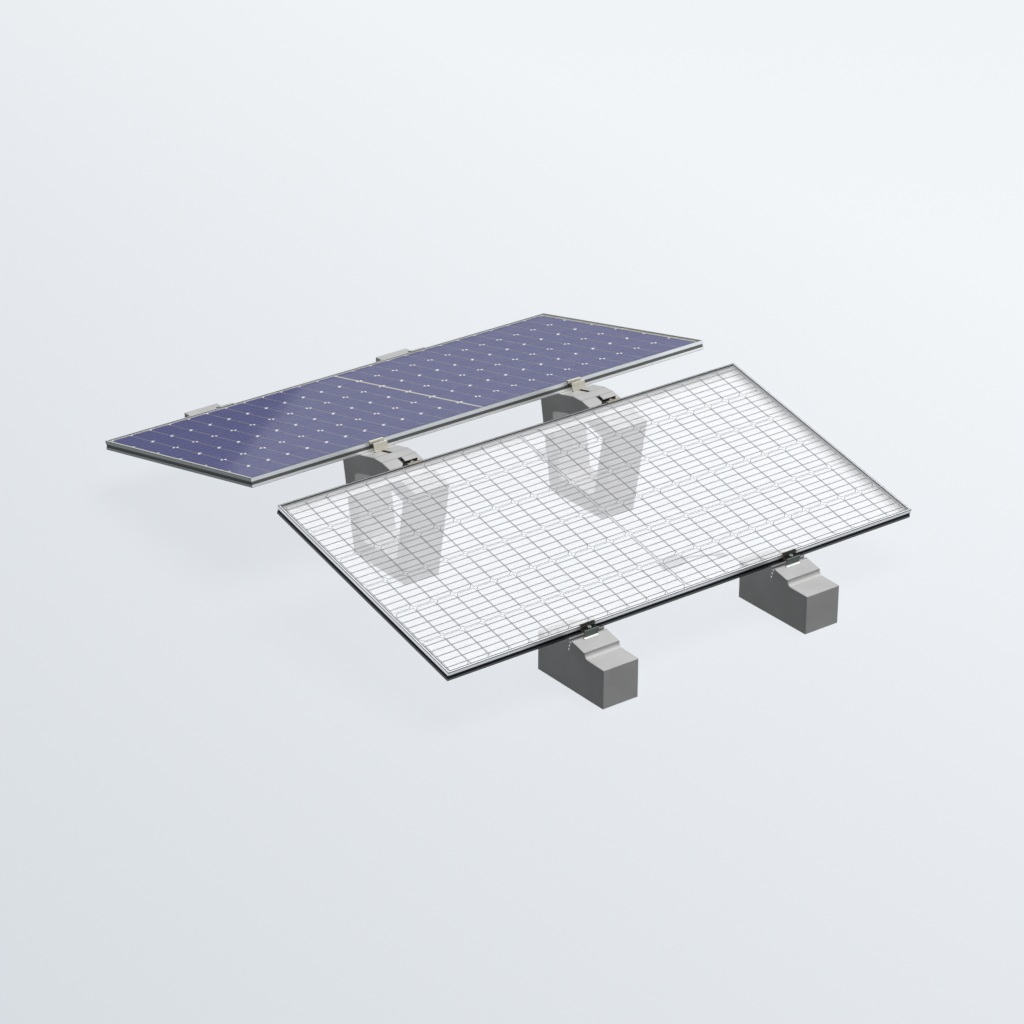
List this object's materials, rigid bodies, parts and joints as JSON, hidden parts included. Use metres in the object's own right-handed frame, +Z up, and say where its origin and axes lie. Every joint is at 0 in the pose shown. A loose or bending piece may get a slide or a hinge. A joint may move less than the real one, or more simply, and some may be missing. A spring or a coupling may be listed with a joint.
{
  "type": "solar ballast mount",
  "caption": "Dual-pitch ballasted roof mount: two framed solar modules clamped back to back on low and arched cast blocks.",
  "frame": {"origin": "on the ground, under the middle of the ridge between the two modules", "axes": "+Z up, +X along the ridge and the modules' long sides, -Y towards the see-through module in front"},
  "size_m": [2.139, 2.636, 0.4589],
  "materials": {
    "cast_block": "cast concrete, matte",
    "anchor_rail": "mill finish extrusion",
    "module_frame": "satin anodised",
    "module_glass": "tempered low-iron glass",
    "clear_laminate": "drawn see-through, faint cell lines",
    "blue_laminate": "blue cells on a pale back sheet",
    "black_plastic": "moulded, fine grain",
    "lead_jacket": "round cable jacket",
    "clamp_sheet": "satin, slightly warm grey",
    "fastener_steel": "stainless"
  },
  "bodies": {
    "root": {"front_cell_laminate": "clear_laminate", "front_frame_far": "module_frame", "front_frame_left": "module_frame", "front_frame_near": "module_frame", "front_frame_right": "module_frame", "front_front_glass": "module_glass", "front_high_connector": "black_plastic", "front_high_junction_box": "black_plastic", "front_high_lead": "lead_jacket", "front_left_low_block": "cast_block", "front_left_low_bolt": "fastener_steel", "front_left_low_channel_nut": "fastener_steel", "front_left_low_clamp": "clamp_sheet", "front_left_low_rail": "anchor_rail", "front_left_ridge_bolt": "fastener_steel", "front_left_ridge_channel_nut": "fastener_steel", "front_left_ridge_clamp": "clamp_sheet", "front_low_connector": "black_plastic", "front_low_junction_box": "black_plastic", "front_low_lead": "lead_jacket", "front_middle_junction_box": "black_plastic", "front_right_low_block": "cast_block", "front_right_low_bolt": "fastener_steel", "front_right_low_channel_nut": "fastener_steel", "front_right_low_clamp": "clamp_sheet", "front_right_low_rail": "anchor_rail", "front_right_ridge_bolt": "fastener_steel", "front_right_ridge_channel_nut": "fastener_steel", "front_right_ridge_clamp": "clamp_sheet", "left_arch_block": "cast_block", "left_arch_front_rail": "anchor_rail", "left_arch_rear_rail": "anchor_rail", "rear_cell_laminate": "blue_laminate", "rear_frame_far": "module_frame", "rear_frame_left": "module_frame", "rear_frame_near": "module_frame", "rear_frame_right": "module_frame", "rear_front_glass": "module_glass", "rear_high_junction_box": "black_plastic", "rear_left_low_block": "cast_block", "rear_left_low_bolt": "fastener_steel", "rear_left_low_channel_nut": "fastener_steel", "rear_left_low_clamp": "clamp_sheet", "rear_left_low_rail": "anchor_rail", "rear_left_ridge_bolt": "fastener_steel", "rear_left_ridge_channel_nut": "fastener_steel", "rear_left_ridge_clamp": "clamp_sheet", "rear_low_junction_box": "black_plastic", "rear_middle_junction_box": "black_plastic", "rear_right_low_block": "cast_block", "rear_right_low_bolt": "fastener_steel", "rear_right_low_channel_nut": "fastener_steel", "rear_right_low_clamp": "clamp_sheet", "rear_right_low_rail": "anchor_rail", "rear_right_ridge_bolt": "fastener_steel", "rear_right_ridge_channel_nut": "fastener_steel", "rear_right_ridge_clamp": "clamp_sheet", "right_arch_block": "cast_block", "right_arch_front_rail": "anchor_rail", "right_arch_rear_rail": "anchor_rail"}
  },
  "joints": []
}
